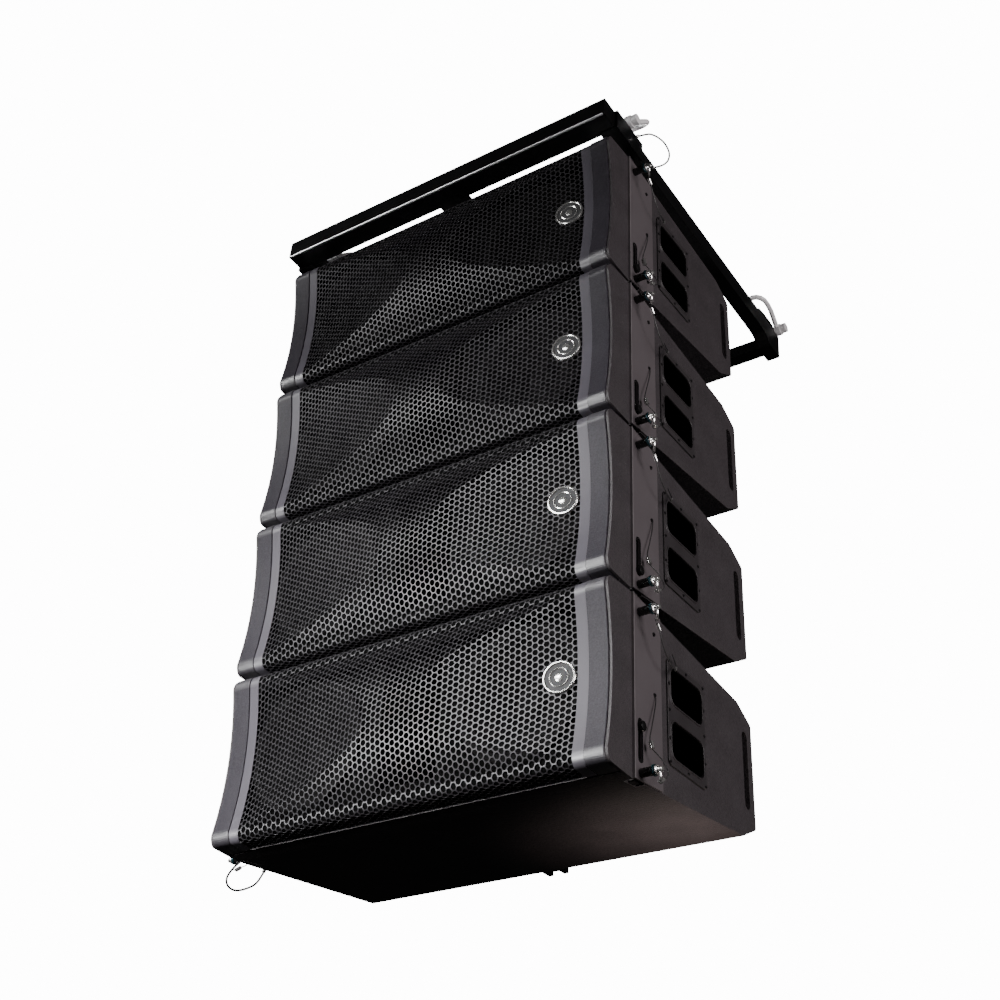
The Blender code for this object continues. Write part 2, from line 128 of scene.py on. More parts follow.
CABINET_LANYARD = [(-342.2, 77, -126), (-343, 75.5, -130), (-343, 72, -135), (-343, 61, -147),
                   (-343, 51.5, -162), (-343, 51, -172), (-343, 59, -178), (-343, 74, -177.5),
                   (-343, 94, -168.5), (-343, 112, -156), (-343, 123, -140), (-343, 127.5, -130),
                   (-342.2, 128, -124)]


# ---- placing ----


def cab_origin(k):
    low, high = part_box(f"enclosure_{k}")
    return Vector((0, low.y, (low.z + high.z) / 2))


ORIGIN = {k: cab_origin(k) for k in range(1, CABS + 1)}


def add_piece(name, mesh, mat, body, at=None, smooth=False):
    """A new piece from a mesh in metres, placed at a point and riding on a body."""
    obj = bpy.data.objects.new(name, mesh)
    if not mesh.materials:
        mesh.materials.append(mat)
    if smooth:
        mesh.polygons.foreach_set("use_smooth", [True] * len(mesh.polygons))
        mesh.set_sharp_from_angle(angle=math.radians(35))
    bpy.context.scene.collection.objects.link(obj)
    obj.location = at or Vector()
    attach(obj, body)
    return obj


def bevel(obj, width, segments=2, angle=30):
    made = obj.modifiers.new("bevel", "BEVEL")
    made.width = width * MM
    made.segments = segments
    made.limit_method = "ANGLE"
    made.angle_limit = math.radians(angle)
    made.harden_normals = True
    made.use_clamp_overlap = True
    return obj


# ---- mesh helpers: millimetres in, metres out ----


def finish_mesh(bm, name):
    bmesh.ops.recalc_face_normals(bm, faces=bm.faces)
    bmesh.ops.scale(bm, vec=(MM, MM, MM), verts=bm.verts)
    mesh = bpy.data.meshes.new(name)
    bm.to_mesh(mesh)
    bm.free()
    return mesh


def stack(rings, name):
    """A closed skin through rings of equal length."""
    bm = bmesh.new()
    rows = [[bm.verts.new(p) for p in ring] for ring in rings]
    for low, high in zip(rows, rows[1:]):
        for i in range(len(low)):
            j = (i + 1) % len(low)
            bm.faces.new((low[i], low[j], high[j], high[i]))
    bm.faces.new(rows[0][::-1])
    bm.faces.new(rows[-1])
    return finish_mesh(bm, name)


def prism(outline, x0, x1):
    """A side-view outline of (Y, Z) points, extruded from x0 to x1."""
    return stack([[(x, y, z) for y, z in outline] for x in (x0, x1)], "prism")


def block(x0, x1, y0, y1, z0, z1):
    return prism([(y0, z0), (y1, z0), (y1, z1), (y0, z1)], x0, x1)


def rounded(y0, y1, z0, z1, radius, steps=6):
    """The outline of a rectangle with round corners."""
    points = []
    for y, z, start in ((y1, z1, 0), (y0, z1, 90), (y0, z0, 180), (y1, z0, 270)):
        cy = y - radius if y == y1 else y + radius
        cz = z - radius if z == z1 else z + radius
        for i in range(steps + 1):
            a = math.radians(start + 90 * i / steps)
            points.append((cy + radius * math.cos(a), cz + radius * math.sin(a)))
    return points


def turned(profile, sides, axis="X"):
    """A (radius, distance) profile turned about an axis."""
    bm = bmesh.new()

    def place(r, d, a):
        c, s = r * math.cos(a), r * math.sin(a)
        return {"X": (d, c, s), "Y": (c, d, s), "Z": (c, s, d)}[axis]

    turn = [2 * math.pi * i / sides for i in range(sides)]
    rings = [[bm.verts.new(place(r, d, a)) for a in turn] for r, d in profile if r > 0]
    for low, high in zip(rings, rings[1:]):
        for i in range(sides):
            j = (i + 1) % sides
            bm.faces.new((low[i], low[j], high[j], high[i]))
    for (r, d), ring in ((profile[0], rings[0]), (profile[-1], rings[-1])):
        if r > 0:
            bm.faces.new(ring)
            continue
        tip = bm.verts.new(place(0, d, 0))
        for i in range(sides):
            bm.faces.new((tip, ring[i], ring[(i + 1) % sides]))
    return finish_mesh(bm, "turned")


def moved(mesh, x=0.0, y=0.0, z=0.0):
    mesh.transform(Matrix.Translation(Vector((x, y, z)) * MM))
    return mesh


def rod(x0, x1, y, z, radius):
    return moved(turned([(radius, x0), (radius, x1)], 24), 0, y, z)


def swept(points, radius, sides, name):
    """A round bar along a route of points."""
    route = [Vector(p) for p in points]
    rings, side = [], None
    for i, here in enumerate(route):
        along = (route[min(i + 1, len(route) - 1)] - route[max(i - 1, 0)]).normalized()
        if side is None:
            side = along.orthogonal().normalized()
        side = (side - along * side.dot(along)).normalized()
        other = along.cross(side)
        turn = [2 * math.pi * k / sides for k in range(sides)]
        rings.append([here + radius * (side * math.cos(a) + other * math.sin(a)) for a in turn])
    return stack(rings, name)


def smoothed(points, steps):
    """The points with more between them, on a Catmull-Rom curve."""
    route = [Vector(p) for p in points]
    route = [2 * route[0] - route[1], *route, 2 * route[-1] - route[-2]]
    out = []
    for a, b, c, d in zip(route, route[1:], route[2:], route[3:]):
        for i in range(steps):
            t = i / steps
            out.append(0.5 * (2 * b + (c - a) * t + (2 * a - 5 * b + 4 * c - d) * t**2
                              + (3 * b - 3 * c + d - a) * t**3))
    return out + [route[-2]]


def joined(meshes, name):
    """Several meshes as one, without a Boolean."""
    bm = bmesh.new()
    for mesh in meshes:
        bm.from_mesh(mesh)
        bpy.data.meshes.remove(mesh)
    made = bpy.data.meshes.new(name)
    bm.to_mesh(made)
    bm.free()
    return made


def combine(base, parts, operation):
    """The base mesh after a Boolean with each part."""
    link = bpy.context.scene.collection.objects.link
    holder = bpy.data.objects.new("holder", base)
    link(holder)
    helpers = [holder]
    for part in parts:
        helper = bpy.data.objects.new("cutter", part)
        helper.hide_render = True
        link(helper)
        helpers.append(helper)
        modifier = holder.modifiers.new(operation.lower(), "BOOLEAN")
        modifier.operation = operation
        modifier.solver = "EXACT"
        modifier.object = helper
    bpy.context.view_layer.update()
    graph = bpy.context.evaluated_depsgraph_get()
    result = bpy.data.meshes.new_from_object(holder.evaluated_get(graph))
    for helper in helpers:
        bpy.data.objects.remove(helper)
    return result


def add(base, *parts):
    return combine(base, parts, "UNION")


def cut(base, *parts):
    return combine(base, parts, "DIFFERENCE")


def span(side, a, b):
    """Two distances from the middle, as an X range on the given side."""
    return sorted((side * a, side * b))


def flipped(mesh):
    """The left-hand copy of a right-hand mesh."""
    made = mesh.copy()
    made.transform(Matrix.Diagonal((-1, 1, 1, 1)))
    made.flip_normals()
    return made


def for_side(mesh, side):
    return mesh.copy() if side > 0 else flipped(mesh)


# ---- materials ----

SPECKLE = 2.2  # how strongly the grain mixes a finish's two colours
GLOSS_SWING = 0.08
LIP_GLOSS = ((LIP_Z - 5) * MM, (LIP_Z + 6) * MM)  # the height over which a lip's polish sets in


def shader_of(name, colour, roughness, metallic=0.0):
    made = bpy.data.materials.new(name)
    made.use_nodes = True
    shader = made.node_tree.nodes["Principled BSDF"]
    shader.inputs["Base Color"].default_value = (*colour, 1)
    shader.inputs["Roughness"].default_value = roughness
    shader.inputs["Metallic"].default_value = metallic
    return made, shader


def node(tree, kind, values=()):
    """A new shader node, with some of its inputs set by name."""
    made = tree.nodes.new(f"ShaderNode{kind}")
    for field, value in dict(values).items():
        made.inputs[field].default_value = value
    return made


def mixed_colour(tree, dark, light, fine, slow, uneven):
    """Two colours mixed by the fine grain and, with a weight of its own, by the slow patches."""
    link = tree.links.new
    speckle, both = node(tree, "Math"), node(tree, "Math")
    for step, texture, weight in ((speckle, fine, SPECKLE), (both, slow, uneven)):
        step.operation = "MULTIPLY_ADD"
        step.use_clamp = step is both
        step.inputs[1].default_value = weight
        link(texture.outputs["Fac"], step.inputs[0])
    speckle.inputs[2].default_value = 0.5 - (SPECKLE + uneven) / 2
    link(speckle.outputs[0], both.inputs[2])
    mix = node(tree, "Mix")
    mix.data_type = "RGBA"
    mix.inputs["A"].default_value = (*dark, 1)
    mix.inputs["B"].default_value = (*light, 1)
    link(both.outputs[0], mix.inputs["Factor"])
    return mix.outputs["Result"]


def lip_polish(tree, where, shine, lip_shine):
    """A gloss that rises towards a cabinet's rounded top and bottom lips, where hands polish it."""
    link = tree.links.new
    parts, height = node(tree, "SeparateXYZ"), node(tree, "Math")
    height.operation = "ABSOLUTE"
    start, end = LIP_GLOSS
    lip = node(tree, "MapRange", {"From Min": start, "From Max": end, "To Min": shine, "To Max": lip_shine})
    link(where, parts.inputs["Vector"])
    link(parts.outputs["Z"], height.inputs[0])
    link(height.outputs[0], lip.inputs["Value"])
    return lip.outputs["Result"]


def pebbled(tree, where, fine, coarse):
    """The fine grain's height with larger pebbles pressed into it."""
    link = tree.links.new
    pebble = node(tree, "TexVoronoi")
    pebble.feature = "SMOOTH_F1"
    pebble.inputs["Scale"].default_value = coarse
    together = node(tree, "Math")
    together.operation = "SUBTRACT"
    link(where, pebble.inputs["Vector"])
    link(fine.outputs["Fac"], together.inputs[0])
    link(pebble.outputs["Distance"], together.inputs[1])
    return together.outputs[0]


def textured(name, dark, light, roughness, grain, depth, metallic=0.0, coarse=0.0, shine=0.5,
             uneven=0.9, lip_shine=0.0):
    """A painted or moulded surface: fine grain in its bump, slow patches in its colour and gloss."""
    made, shader = shader_of(name, dark, roughness, metallic)
    shader.inputs["Specular IOR Level"].default_value = shine
    tree = made.node_tree
    link = tree.links.new
    where = node(tree, "TexCoord").outputs["Object"]
    fine = node(tree, "TexNoise", {"Scale": grain, "Detail": 3, "Roughness": 0.65})
    slow = node(tree, "TexNoise", {"Scale": 18, "Detail": 4})
    for texture in (fine, slow):
        link(where, texture.inputs["Vector"])
    link(mixed_colour(tree, dark, light, fine, slow, uneven), shader.inputs["Base Color"])
    gloss = node(tree, "MapRange", {"To Min": roughness - GLOSS_SWING, "To Max": roughness + GLOSS_SWING})
    link(slow.outputs["Fac"], gloss.inputs["Value"])
    link(gloss.outputs["Result"], shader.inputs["Roughness"])
    if lip_shine:
        link(lip_polish(tree, where, shine, lip_shine), shader.inputs["Specular IOR Level"])
    bump = node(tree, "Bump", {"Strength": depth, "Distance": 0.0009 if coarse else 0.0004})
    height = pebbled(tree, where, fine, coarse) if coarse else fine.outputs["Fac"]
    link(height, bump.inputs["Height"])
    link(bump.outputs["Normal"], shader.inputs["Normal"])
    return made


def pale_floor():
    """Matt and pale, with an even glow in place of the far lights of a large studio."""
    made, shader = shader_of("pale_floor", (0.76, 0.75, 0.73), 0.8)
    shader.inputs["Emission Color"].default_value = (0.97, 0.96, 0.94, 1)
    shader.inputs["Emission Strength"].default_value = 1.2
    return made


def build_materials():
    """Each finish: its darker and lighter colour, roughness, grain scale and depth, then metallic."""
    return {
        "coating": textured("textured_coating", (0.017, 0.0148, 0.016), (0.050, 0.0435, 0.047),
                            0.50, 520, 0.7, coarse=230, uneven=0.5, shine=0.35),
        "cheek": textured("cheek_moulding", (0.019, 0.017, 0.021), (0.034, 0.031, 0.038),
                          0.42, 420, 0.9, shine=0.12, lip_shine=0.9),
        "margin": textured("grille_margin", (0.052, 0.048, 0.057), (0.078, 0.072, 0.086),
                           0.40, 2600, 0.12, shine=0.2, lip_shine=0.9),
        "grille": textured("grille_paint", (0.022, 0.021, 0.0235), (0.038, 0.036, 0.040),
                           0.40, 1500, 0.25, 0.3),
        "board": textured("baffle_black", (0.0012, 0.0012, 0.0012), (0.002, 0.002, 0.002),
                          0.9, 1200, 0.2, shine=0.03),
        "cone": textured("paper_cone", (0.0022, 0.0020, 0.0021), (0.004, 0.0036, 0.0037),
                         0.75, 900, 0.3, shine=0.06),
        "plate": textured("rigging_plate_paint", (0.080, 0.070, 0.074), (0.115, 0.101, 0.107),
                          0.38, 1800, 0.15, 0.2, uneven=0.5),
        # painted highlight: pale grey for the thin strips along the rigging plate's front edge and the grille
        # hems' ends, where those edges catch the light; the pocket below the low pin is lined with it too
        "rim": textured("plate_edge", (0.17, 0.16, 0.165), (0.30, 0.28, 0.285),
                        0.35, 1800, 0.1, 0.4),
        "steel_black": textured("black_steel", (0.006, 0.006, 0.0065), (0.016, 0.015, 0.016),
                                0.35, 1600, 0.2, 0.4),
        "frame": textured("frame_gloss", (0.0016, 0.0016, 0.0018), (0.0035, 0.0035, 0.004),
                          0.32, 500, 0.12, shine=0.3),
        # painted highlight: near-white for the frame beam's lower front edge, where it catches the light
        "painted_highlight": textured("painted_highlight_edge", (0.60, 0.60, 0.61), (0.92, 0.92, 0.93),
                         0.36, 160, 0.2, 1.0, uneven=2.0),
        "bright": textured("bright_zinc", (0.66, 0.66, 0.64), (0.84, 0.84, 0.82),
                           0.22, 1500, 0.12, 0.9),
        "galvanised": textured("galvanised_shackle", (0.76, 0.76, 0.76), (0.94, 0.94, 0.95),
                               0.34, 700, 0.3, 0.2),
        "badge": textured("badge_field", (0.030, 0.030, 0.031), (0.060, 0.060, 0.062),
                          0.55, 900, 0.2, shine=0.15),
        "teal": textured("teal_anodised", (0.003, 0.018, 0.024), (0.010, 0.050, 0.064),
                         0.34, 2500, 0.1, 0.5),
        "knob": textured("knob_plastic", (0.004, 0.004, 0.004), (0.008, 0.008, 0.008),
                         0.18, 1200, 0.05),
        "wire": textured("sheathed_wire", (0.012, 0.012, 0.012), (0.03, 0.03, 0.03),
                         0.4, 3000, 0.3),
        "handle": textured("handle_plastic", (0.018, 0.016, 0.017), (0.032, 0.028, 0.030),
                           0.40, 2200, 0.3),
        "floor": pale_floor(),
    }


MAT = build_materials()


# ---- camera, light and floor ----

CAMERA_AT = Vector((1222.9, -1517.5, -1737.2)) * MM  # from cabinet 1's origin
CAMERA_TURN = (123.075, -2.326, 33.651)  # degrees
LENS, SENSOR = 54.14, 36.0
FLOOR_HALF, FLOOR_DROP = 12.0, 4.5  # its half width, and its depth below the array
AMBIENT, BACKDROP = 0.012, 14.0  # how bright the white world is to the array, and to the camera


def area_light(name, at, target, size, power, colour=(1, 1, 1), spread=180):
    """A soft rectangular light, in watts, facing a target."""
    data = bpy.data.lights.new(name, "AREA")
    data.shape = "RECTANGLE"
    data.size, data.size_y = size
    data.energy = power
    data.color = colour
    data.spread = math.radians(spread)
    obj = bpy.data.objects.new(name, data)
    bpy.context.scene.collection.objects.link(obj)
    obj.location = at
    obj.rotation_mode = "QUATERNION"
    obj.rotation_quaternion = (Vector(target) - Vector(at)).to_track_quat("-Z", "Y")


def build_camera():
    """Below the array and to its right, looking up at its front."""
    data = bpy.data.cameras.new("camera")
    data.lens, data.sensor_width = LENS, SENSOR
    data.clip_start, data.clip_end = 0.05, 60
    camera = bpy.data.objects.new("camera", data)
    bpy.context.scene.collection.objects.link(camera)
    camera.location = ORIGIN[1] + CAMERA_AT
    camera.rotation_euler = [math.radians(a) for a in CAMERA_TURN]
    bpy.context.scene.camera = camera


def build_floor():
    half, z = FLOOR_HALF, cad_box[0].z - FLOOR_DROP
    floor = bpy.data.meshes.new("floor")
    corners = [(-half, -half, z), (half, -half, z), (half, half, z), (-half, half, z)]
    floor.from_pydata(corners, [], [(0, 1, 2, 3)])
    floor.materials.append(MAT["floor"])
    obj = bpy.data.objects.new("floor", floor)
    obj.visible_diffuse = obj.visible_glossy = False  # the array hangs too high for its floor to light it
    bpy.context.scene.collection.objects.link(obj)


def build_world():
    """A white backdrop for the camera, which lights the array only faintly."""
    world = bpy.data.worlds.new("studio")
    bpy.context.scene.world = world
    world.use_nodes = True
    tree = world.node_tree
    ambient, backdrop = tree.nodes["Background"], node(tree, "Background")
    for background, strength in ((ambient, AMBIENT), (backdrop, BACKDROP)):
        background.inputs["Color"].default_value = (1, 1, 1, 1)
        background.inputs["Strength"].default_value = strength
    path, mix = node(tree, "LightPath"), node(tree, "MixShader")
    tree.links.new(path.outputs["Is Camera Ray"], mix.inputs["Fac"])
    tree.links.new(ambient.outputs[0], mix.inputs[1])
    tree.links.new(backdrop.outputs[0], mix.inputs[2])
    tree.links.new(mix.outputs[0], tree.nodes["World Output"].inputs["Surface"])


def build_lights():
    """Two keys on the lowest cabinet's front, then one light for each other side that is seen."""
    front = ORIGIN[CABS]
    below = front + Vector((0, 0, -0.30))
    area_light("key_low", front + Vector((-0.62, -1.15, -0.02)), below, (0.8, 0.3), 13, spread=100)
    area_light("key_high", front + Vector((-0.16, -1.4, 0.80)), below, (0.6, 0.6), 7.5, spread=75)
    middle = (cad_box[0] + cad_box[1]) / 2
    side = middle + Vector((3.0, -0.3, -0.10))
    area_light("side_right", side, middle, (1.6, 1.3), 84, (1.0, 0.94, 0.95))
    under = front + Vector((290, 330, -112)) * MM
    lamp = under + Vector((0, 0, -0.26))
    area_light("under_rear", lamp, under, (0.16, 0.16), 0.42, (1.0, 0.84, 0.76), 95)
    area_light("rear_high", middle + Vector((-1.5, 1.9, 2.2)), middle, (1.6, 1.2), 14, spread=60)
    area_light("left_rear", middle + Vector((-2.7, 1.2, 0.9)), middle, (1.2, 1.2), 6, spread=60)
    upper = ORIGIN[1] + Vector((0, 0, -0.10))
    area_light("upper_front", upper + Vector((-1.2, -1.4, 0.45)), upper, (0.9, 0.6), 8, spread=90)


# ---- cabinets ----


def front_y(z):
    return FRONT_SAG * (1 - (z / LIP_Z) ** 2)


def outline(rear, steps=16):
    """The cabinet's side view: front arc, rounded lips, then the given upper rear points."""
    upper = [(front_y(LIP_Z * i / steps), LIP_Z * i / steps) for i in range(steps + 1)]
    turn = [math.radians(90 * i / 8) for i in range(1, 9)]
    upper += [(LIP_Y * (1 - math.cos(a)), LIP_Z + LIP_RISE * math.sin(a)) for a in turn]
    upper += rear
    return upper + [(y, -z) for y, z in reversed(upper) if z > 0]


def enclosure_mesh():
    """The hollow shell, with its handle cups, ports, link grooves, pin holes and rear recesses."""
    inner = HALF_W - WALL
    shell = cut(
        prism(outline(REAR_OUTLINE), -HALF_W, HALF_W),
        block(SIDE_LIP - HALF_W, HALF_W - SIDE_LIP, -30, REBATE_Y, -160, 160),
        prism(CAVITY + [(y, -z) for y, z in reversed(CAVITY)], -inner, inner),
    )
    cups = [block(*span(s, 258, inner + 3), 160, 272, -76, 76) for s in (1, -1)]
    shell = add(shell, *cups, block(-40, 40, 387, 422, -88, 88))
    channel_room = block(-27, 27, 402, 450, -160, 160)
    eye_room = block(-27, 27, 396, 450, -160, -79)
    panel_room = block(95, 225, 429.5, 450, -45, 45)
    cutters = [channel_room, eye_room, panel_room]
    for side in (1, -1):
        cutters.append(block(*span(side, 262, inner - 0.2), 164, 268, -70, 70))  # inside the cup
        for hole in HAND_HOLES:
            cutters.append(prism(rounded(*hole, 14), *span(side, inner - 4, HALF_W + 5)))
        cutters.append(prism(rounded(*PORT, 8.4), *span(side, inner - 8, HALF_W + 5)))
        cutters.append(block(*span(side, 325, HALF_W + 5), 66, 94, -160, 160))  # the link's groove
        for z in (TOP_PIN_Z, LOW_PIN_Z):
            cutters.append(rod(*span(side, 315, HALF_W + 4), PIN_Y, z, 5.4))
    return cut(shell, *cutters)


def frustum(front, y0, back, y1):
    """A block that tapers from one half width and height at y0 to another at y1."""
    rings = []
    for (x, z), y in ((front, y0), (back, y1)):
        rings.append([(-x, y, -z), (x, y, -z), (x, y, z), (-x, y, z)])
    return stack(rings, "frustum")


def baffle_mesh():
    """The board and horn behind the grille, without the cheeks."""
    back = REBATE_Y - 0.3
    board = add(
        block(-301, 301, 22, back, -132, 132),
        block(-301, 301, 35.6, back - 0.4, -136.2, 136.2),
        frustum((58, 112), 38, (20, 62), 150),
    )
    mouths = [moved(turned([(93, 10), (93, 60)], 48, "Y"), s * 187) for s in (1, -1)]
    return cut(board, *mouths, frustum((53.5, 106.5), 15, (9, 52), 155))


def cheek_mesh(side):
    """The curved moulding at one end of a cabinet's front."""
    x0, x1 = span(side, GRILLE_HALF + 0.5, HALF_W - SIDE_LIP - 0.5)
    return moved(prism(outline([(REBATE_Y - 0.3, 136.4)], 24), x0, x1), 0, -CHEEK_PROUD)


# ---- grille ----


def sheet_point(x, s):
    """A point of the grille's outer face, s along its height from the middle."""
    up, away = (1 if s >= 0 else -1), abs(s)
    if away <= LIP_Z:
        t = away / LIP_Z
        bulge, edge = -BULGE * (1 - t * t), front_y(away)
        crease = FIELD_HALF * (CREASE_IN + CREASE_OUT * t**CREASE_POWER)
        share = (abs(x) - crease) / (FIELD_HALF - crease)
        y = bulge + (edge - bulge) * min(max(share, 0), 1)
        return Vector((x, y, s))
    if away <= LIP_Z + LIP_TURN:
        a = math.pi / 2 * (away - LIP_Z) / LIP_TURN
        return Vector((x, LIP_Y * (1 - math.cos(a)), up * (LIP_Z + LIP_RISE * math.sin(a))))
    past = away - LIP_Z - LIP_TURN
    return Vector((x, LIP_Y + past, up * (LIP_Z + LIP_RISE + 0.055 * past)))


def outward(x, s):
    """The direction out of the grille's face at that point, as seen from the side."""
    along = (sheet_point(x, s + 0.5) - sheet_point(x, s - 0.5)).normalized()
    return Vector((0, -along.z, along.y))


def perforated_sheet():
    """Six-sided holes in staggered columns, each in its own cell of sheet."""
    bm = bmesh.new()
    corners = {}
    step = HOLE_PITCH * math.sqrt(3) / 2
    columns = int(FIELD_HALF / step)
    step = (FIELD_HALF - HOLE_PITCH * 0.3) / (columns + 0.15)
    reach = HOLE_PITCH / math.sqrt(3)

    def corner(x, s):
        key = (round(x * 4), round(s * 4))
        if key not in corners:
            corners[key] = bm.verts.new(sheet_point(x, s))
        return corners[key]

    for c in range(-columns, columns + 1):
        x = c * step
        shift = 0.5 if c % 2 else 0.0
        rows = int((GRILLE_REACH - HOLE_PITCH * 0.6) / HOLE_PITCH - shift)
        for r in range(-rows - (1 if shift else 0), rows + 1):
            s = (r + shift) * HOLE_PITCH
            ring = [corner(x + reach * math.cos(math.pi * i / 3) * step / HOLE_PITCH * 1.1547,
                           s + reach * math.sin(math.pi * i / 3)) for i in range(6)]
            hole = []
            for i in range(6):
                for turn in (-CORNER_TURN, CORNER_TURN):
                    a = math.pi * i / 3 + turn
                    hole.append(bm.verts.new(sheet_point(x + HOLE_R * math.cos(a), s + HOLE_R * math.sin(a))))
            for i in range(6):
                j = (i + 1) % 6
                bm.faces.new((ring[i], ring[j], hole[2 * j], hole[2 * i + 1]))
                bm.faces.new((ring[i], hole[2 * i + 1], hole[2 * i]))
    for face in bm.faces:
        face.normal_update()
    bmesh.ops.solidify(bm, geom=bm.faces[:], thickness=SHEET)
    return finish_mesh(bm, "perforated_sheet")


def margin_strip(x0, x1, s0, s1, steps):
    """A plain strip of the grille, a closed slab along its surface."""
    thick, proud = 1.8, 0.15
    rings = []
    for i in range(steps + 1):
        s = s0 + (s1 - s0) * i / steps
        ring = []
        for x, lift in ((x0, 0), (x1, 0), (x1, 1), (x0, 1)):
            ring.append(sheet_point(x, s) + outward(x, s) * (proud if lift else proud - thick))
        rings.append(ring)
    return stack(rings, "strip")


def build_grilles():
    """Each grille: the perforated field, its plain margins at the sides, its hems at top and bottom, and a
    thin pale line along each hem's end as a painted highlight.
    """
    holes = perforated_sheet()
    holes.materials.append(MAT["grille"])
    edges, hems, lines = [], [], []
    for s in (1, -1):
        outer = span(s, FIELD_HALF - 1.5, GRILLE_HALF)
        edges.append(margin_strip(*outer, -GRILLE_REACH, GRILLE_REACH, 96))
        hems.append(margin_strip(-FIELD_HALF, FIELD_HALF, *span(s, GRILLE_REACH - 3, GRILLE_REACH), 2))
        ends = [sheet_point(x, s * GRILLE_REACH) for x in (-FIELD_HALF, FIELD_HALF)]
        # a painted highlight: a thin pale line along the hem's end, where it catches the light
        lines.append(swept(ends, 0.9, 8, "hem_highlight"))
    margin, hem = joined(edges, "grille_margin"), joined(hems, "grille_hem")
    line = joined(lines, "hem_highlight")
    margin.materials.append(MAT["margin"])
    for k, at in ORIGIN.items():
        body = f"cabinet_{k}"
        sheet = add_piece(f"grille_sheet_{k}", holes, MAT["grille"], body, at)
        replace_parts(sheet, f"grille_{k}")
        strip = add_piece(f"grille_margin_{k}", margin, MAT["margin"], body, at)
        strip.data.set_sharp_from_angle(angle=math.radians(30))
        add_piece(f"grille_hem_{k}", hem, MAT["grille"], body, at)
        # the painted highlight along the hems
        add_piece(f"hem_highlight_{k}", line, MAT["rim"], body, at)


# ---- hardware on the sides ----


def ring_mesh(radius, wire, steps=28):
    """A round wire ring about the X axis."""
    turn = [2 * math.pi * i / steps for i in range(steps + 1)]
    return swept([(0, radius * math.cos(a), radius * math.sin(a)) for a in turn], wire, 8, "ring")


def screw_mesh(radius=3.4, proud=1.6):
    """A domed socket screw, facing +X."""
    dome = turned([(radius, -1), (radius, 0.3), (radius * 0.8, proud), (radius * 0.5, proud + 0.2)], 20)
    socket = turned([(radius * 0.42, 0.2), (radius * 0.42, proud + 2)], 6)
    return cut(dome, socket)


def handle_mesh():
    """The moulded plate around a side's two hand openings, with a raised rim."""
    holes = [(y0, y1, z0 - 1, z1 + 1) for y0, y1, z0, z1 in HAND_HOLES]
    plate = prism(rounded(*HANDLE, 9), HALF_W + 0.2, HALF_W + HANDLE_PROUD)
    for y0, y1, z0, z1 in holes:
        around = rounded(y0 - 2.5, y1 + 2.5, z0 - 2.5, z1 + 2.5, 15)
        plate = add(plate, prism(around, HALF_W + 1, HALF_W + 4))
    cutters = [prism(rounded(*hole, 13), HALF_W - 10, HALF_W + 10) for hole in holes]
    return cut(plate, *cutters)


def handle_lining():
    """The dark tray behind a side's two hand openings."""
    front, back, half, depth = 165.0, 267.0, 69.5, 263.0
    tray = cut(block(depth, HALF_W - WALL - 0.3, front, back, -half, half),
               block(depth + 2, HALF_W, front + 2, back - 2, 2 - half, half - 2))
    sleeves = []
    for y0, y1, z0, z1 in HAND_HOLES:
        outer = rounded(y0 + 0.2, y1 - 0.2, z0 + 0.2, z1 - 0.2, 14)
        inner = rounded(y0 + 1.4, y1 - 1.4, z0 + 1.4, z1 - 1.4, 13)
        sleeves.append(cut(prism(outer, HALF_W - WALL - 0.2, HALF_W + 2.4),
                           prism(inner, HALF_W - 20, HALF_W + 8)))
    return joined([tray, *sleeves], "handle_lining")


def screw_places():
    """Two columns of screws in a handle plate, then one in the middle of its lower and upper edges."""
    y0, y1, z0, z1 = HANDLE
    rows = [z0 + 4.5, -42, 0, 40, z1 - 4.5]
    columns = [(y, z) for z in rows for y in (y0 + 3.8, y1 - 4.2)]
    return columns + [((y0 + y1) / 2, z) for z in (z0 + 5, z1 - 5)]


def ferrule(a, b, radius):
    """A crimped sleeve from one point to another."""
    a, b = Vector(a), Vector(b)
    along = b - a
    return swept([a, a + along * 0.08, a + along * 0.5, b - along * 0.08, b], radius, 16, "ferrule")


def hang_wire(name, points, side, body, at, sleeves):
    """A pin's retaining wire, with its sleeves. A sleeve is its start's number and its radius."""
    placed = [Vector((side * x, y, z)) for x, y, z in smoothed(points, 5)]
    wire = add_piece(name, swept(placed, WIRE_R, 10, name), MAT["wire"], body, at, smooth=True)
    for number, (i, radius) in enumerate(sleeves):
        a, b = (Vector((side * points[j][0], *points[j][1:])) for j in (i, i + 1))
        mesh = ferrule(a, a + (b - a).normalized() * 10, radius)
        add_piece(f"{name}_sleeve_{number}", mesh, MAT["bright"], body, at, smooth=True)


def hang_lanyard(name, points, body, at):
    """A safety lanyard on its route, with a crimped sleeve near each end."""
    placed = smoothed(points, 6)
    mesh = swept(placed, LANYARD_R, 14, name)
    cord = add_piece(f"{name}_cord", mesh, MAT["wire"], body, at, True)
    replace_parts(cord, name)
    for end, (i, j) in (("first", (2, 10)), ("last", (-9, -2))):
        mesh = swept(placed[i:j], LANYARD_R + 1.2, 16, f"{name}_sleeve")
        add_piece(f"{name}_sleeve_{end}", mesh, MAT["bright"], body, at, smooth=True)


def build_lanyards():
    hang_lanyard("lanyard_frame", FRAME_LANYARD, "flying_frame", ORIGIN[1])
    hang_lanyard("lanyard_cabinet", CABINET_LANYARD, f"cabinet_{CABS}", ORIGIN[CABS])


def build_frame_edge():
    """The rolled lower front edge of the frame's front beam, coloured near white as a painted highlight of
    the light that the edge catches.
    """
    steel = NODES["flying_frame"]
    corners = [steel.matrix_world @ v.co for v in steel.data.vertices]
    ends = [v for v in corners if abs(abs(v.x) - BEAM_HALF * MM) < 0.0006]
    y, z = min(((v.y / MM, v.z / MM) for v in ends), key=sum)
    bar = swept([(x, y + 1.0, z + 1.0) for x in (3 - BEAM_HALF, BEAM_HALF - 3)], 2.1, 16, "frame_edge_highlight")
    # a pale strip that paints the highlight on the beam's edge
    add_piece("frame_edge_highlight", bar, MAT["painted_highlight"], "flying_frame", smooth=True)


